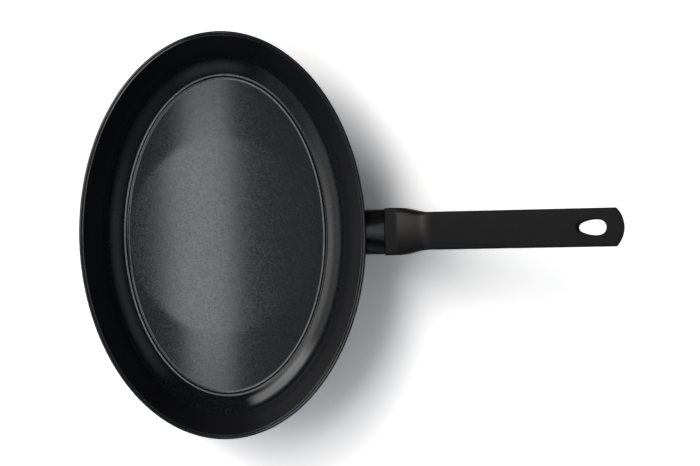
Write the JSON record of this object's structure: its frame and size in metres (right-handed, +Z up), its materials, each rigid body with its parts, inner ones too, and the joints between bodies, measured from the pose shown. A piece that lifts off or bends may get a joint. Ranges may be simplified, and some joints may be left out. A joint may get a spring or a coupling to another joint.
{
  "type": "fish pan",
  "caption": "Oval black non-stick fish pan with a flared wall, raised flat floor, round induction disc under the base and a long rising grip with a hang hole.",
  "frame": {"origin": "middle of the base's underside, on the plane that the pan rests on", "axes": "+Z up, +X out along the handle, Y along the long axis of the oval"},
  "size_m": [0.4463, 0.34, 0.1015],
  "materials": {
    "coated_aluminium": "satin",
    "ground_stainless": "satin",
    "guard_paint": "satin",
    "soft_touch_black": "matte",
    "cast_aluminium": "satin",
    "bright_aluminium": "satin",
    "zinc_plated_steel": "satin"
  },
  "bodies": {
    "root": {"pan_body": "coated_aluminium", "base_disc": "ground_stainless", "flame_guard": "guard_paint", "handle_grip": "soft_touch_black", "handle_bracket": "cast_aluminium", "weld_stud_left": "bright_aluminium", "weld_stud_right": "bright_aluminium", "square_nut": "zinc_plated_steel", "flat_washer": "zinc_plated_steel", "spring_washer": "zinc_plated_steel", "handle_screw": "zinc_plated_steel"}
  },
  "joints": []
}
